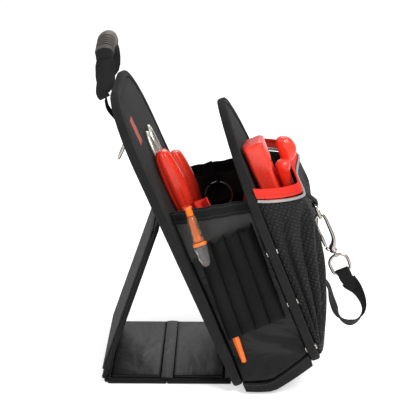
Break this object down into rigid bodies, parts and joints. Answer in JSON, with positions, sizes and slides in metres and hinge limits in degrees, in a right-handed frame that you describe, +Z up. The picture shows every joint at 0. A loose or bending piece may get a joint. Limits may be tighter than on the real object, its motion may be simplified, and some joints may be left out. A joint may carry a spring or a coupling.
{
  "type": "electrician's tool pouch",
  "caption": "Padded open tool pouch that leans on a fold-out stand, with a carry handle, side pen loops, a bellows front pocket, a snap-hook lanyard and hand tools that lift out.",
  "frame": {"origin": "centre of the underside of the stand's front base board", "axes": "+X towards the pouch's front, +Y towards its far side, +Z up"},
  "size_m": [0.3253, 0.2655, 0.4005],
  "materials": {
    "weave": "coarse woven",
    "webbing": "woven webbing",
    "vinyl": "vinyl coated cloth",
    "ripstop": "ripstop cloth",
    "red_nylon": "woven nylon",
    "piping": "satin piping",
    "patch": "plain patch",
    "red_plastic": "gloss",
    "orange_plastic": "gloss",
    "clear_plastic": "clear",
    "grip_rubber": "ribbed",
    "nickel_steel": "polished nickel"
  },
  "bodies": {
    "pouch": {"back_panel": "weave", "back_panel_binding": "webbing", "bottom_binding_far": "webbing", "bottom_binding_near": "webbing", "bottom_panel": "vinyl", "front_panel": "weave", "front_panel_binding": "webbing", "front_pocket": "ripstop", "front_ring_tab": "webbing", "front_rivet_far_1": "nickel_steel", "front_rivet_far_2": "nickel_steel", "front_rivet_far_3": "nickel_steel", "front_rivet_near_1": "nickel_steel", "front_rivet_near_2": "nickel_steel", "front_rivet_near_3": "nickel_steel", "gusset_band_far": "webbing", "gusset_band_near": "webbing", "inner_divider": "red_nylon", "inner_ring_tab": "webbing", "inner_tool_loops": "red_nylon", "lanyard_strap": "webbing", "name_patch": "patch", "pen_loops_far": "weave", "pen_loops_near": "weave", "pocket_facing": "red_nylon", "pocket_piping": "piping", "ring_tab_far": "webbing", "ring_tab_near": "webbing", "side_gusset_far": "vinyl", "side_gusset_near": "vinyl"},
    "stand_base_front": {"stand_base_front": "vinyl", "stand_base_front_binding": "webbing"},
    "stand_base_rear": {"stand_base_rear": "vinyl", "stand_base_rear_binding": "webbing"},
    "stand_flap": {"stand_flap": "vinyl", "stand_flap_binding": "webbing"},
    "carry_handle": {"handle_strap": "webbing", "handle_grip": "grip_rubber", "grip_sleeve_near": "webbing", "grip_sleeve_far": "webbing"},
    "shoulder_ring_near": {"shoulder_ring_near": "nickel_steel"},
    "shoulder_ring_far": {"shoulder_ring_far": "nickel_steel"},
    "front_clip": {"front_d_ring": "nickel_steel", "snap_hook": "nickel_steel"},
    "snap_gate": {"snap_gate": "nickel_steel"},
    "swivel_eye": {"swivel_eye": "nickel_steel"},
    "inner_ring": {"inner_ring": "nickel_steel"},
    "pliers": {"pliers_handle_near": "red_plastic", "pliers_jaw_near": "nickel_steel"},
    "pliers_far_half": {"pliers_handle_far": "red_plastic", "pliers_jaw_far": "nickel_steel"},
    "scissors": {"scissors_half_near": "nickel_steel"},
    "scissors_far_half": {"scissors_half_far": "nickel_steel"},
    "stripper": {"stripper_half_near": "red_plastic"},
    "stripper_far_half": {"stripper_half_far": "red_plastic"},
    "cutter": {"cutter_half_near": "red_plastic"},
    "cutter_far_half": {"cutter_half_far": "red_plastic"},
    "tester": {"tester_body": "clear_plastic", "tester_crown": "orange_plastic"},
    "screwdriver": {"loop_screwdriver": "orange_plastic"}
  },
  "joints": [
    {"name": "stand_heel_hinge", "type": "hinge", "parent": "pouch", "child": "stand_base_front", "pos_m": [0.04, 0, 0.0056], "axis": [0, 1, 0], "range_deg": [0, 67.5]},
    {"name": "stand_fold_hinge", "type": "hinge", "parent": "stand_base_front", "child": "stand_base_rear", "pos_m": [-0.038, 0, 0], "axis": [0, 1, 0], "range_deg": [-176, 0]},
    {"name": "stand_rear_hinge", "type": "hinge", "parent": "stand_base_rear", "child": "stand_flap", "pos_m": [-0.11, 0, 0.0056], "axis": [0, 1, 0], "range_deg": [0, 69.81]},
    {"name": "carry_handle_hinge", "type": "hinge", "parent": "pouch", "child": "carry_handle", "pos_m": [-0.10237, 0, 0.33327], "axis": [0, 1, 0], "range_deg": [-45, 20]},
    {"name": "shoulder_ring_near_hinge", "type": "hinge", "parent": "pouch", "child": "shoulder_ring_near", "pos_m": [-0.08502, -0.046, 0.28084], "axis": [0, 1, 0], "range_deg": [-30, 120]},
    {"name": "shoulder_ring_far_hinge", "type": "hinge", "parent": "pouch", "child": "shoulder_ring_far", "pos_m": [-0.08502, 0.046, 0.28084], "axis": [0, 1, 0], "range_deg": [-30, 120]},
    {"name": "front_clip_hinge", "type": "hinge", "parent": "pouch", "child": "front_clip", "pos_m": [0.1365, 0, 0.1935], "axis": [0, -1, 0], "range_deg": [0, 60]},
    {"name": "snap_gate_hinge", "type": "hinge", "parent": "front_clip", "child": "snap_gate", "pos_m": [0.15053, 0, 0.13978], "axis": [0, 1, 0], "range_deg": [0, 18], "stiffness_Nm_per_rad": 0.02, "springref_deg": -5.73},
    {"name": "swivel_eye_turn", "type": "hinge", "parent": "front_clip", "child": "swivel_eye", "pos_m": [0.1629, 0, 0.12975], "axis": [0.3827, 0, -0.9239], "range_deg": [-40, 40]},
    {"name": "inner_ring_hinge", "type": "hinge", "parent": "pouch", "child": "inner_ring", "pos_m": [0.01418, 0.0885, 0.19312], "axis": [-0.9171, 0, -0.3987], "range_deg": [-15, 80]},
    {"name": "pliers_lift", "type": "slide", "parent": "pouch", "child": "pliers", "axis": [-0.165, 0, 0.9863], "range_m": [0, 0.15]},
    {"name": "pliers_pivot", "type": "hinge", "parent": "pliers", "child": "pliers_far_half", "pos_m": [0.00619, -0.012, 0.15257], "axis": [-0.9081, 0.1392, -0.3949], "range_deg": [-5, 18]},
    {"name": "scissors_lift", "type": "slide", "parent": "pouch", "child": "scissors", "axis": [-0.3987, 0, 0.9171], "range_m": [0, 0.055]},
    {"name": "scissors_pivot", "type": "hinge", "parent": "scissors", "child": "scissors_far_half", "pos_m": [-0.02732, 0.012, 0.19579], "axis": [-0.9171, 0, -0.3987], "range_deg": [-3, 25]},
    {"name": "stripper_lift", "type": "slide", "parent": "pouch", "child": "stripper", "axis": [-0.3502, 0, 0.9367], "range_m": [0, 0.125]},
    {"name": "stripper_pivot", "type": "hinge", "parent": "stripper", "child": "stripper_far_half", "pos_m": [0.10701, -0.04, 0.17023], "axis": [-0.9171, 0, -0.3987], "range_deg": [-4, 15]},
    {"name": "cutter_lift", "type": "slide", "parent": "pouch", "child": "cutter", "axis": [-0.3007, 0, 0.9537], "range_m": [0, 0.125]},
    {"name": "cutter_pivot", "type": "hinge", "parent": "cutter", "child": "cutter_far_half", "pos_m": [0.12076, -0.027, 0.17622], "axis": [-0.9171, 0, -0.3987], "range_deg": [0, 7]},
    {"name": "tester_lift", "type": "slide", "parent": "pouch", "child": "tester", "axis": [-0.3987, 0, 0.9171], "range_m": [0, 0.1]},
    {"name": "screwdriver_lift", "type": "slide", "parent": "pouch", "child": "screwdriver", "axis": [-0.33, 0.0933, 0.9394], "range_m": [0, 0.15]}
  ],
  "couplings": [
    {"joint": "stand_fold_hinge", "follows": "stand_heel_hinge", "ratio": -2.6074},
    {"joint": "stand_rear_hinge", "follows": "stand_heel_hinge", "ratio": 1.0342}
  ]
}
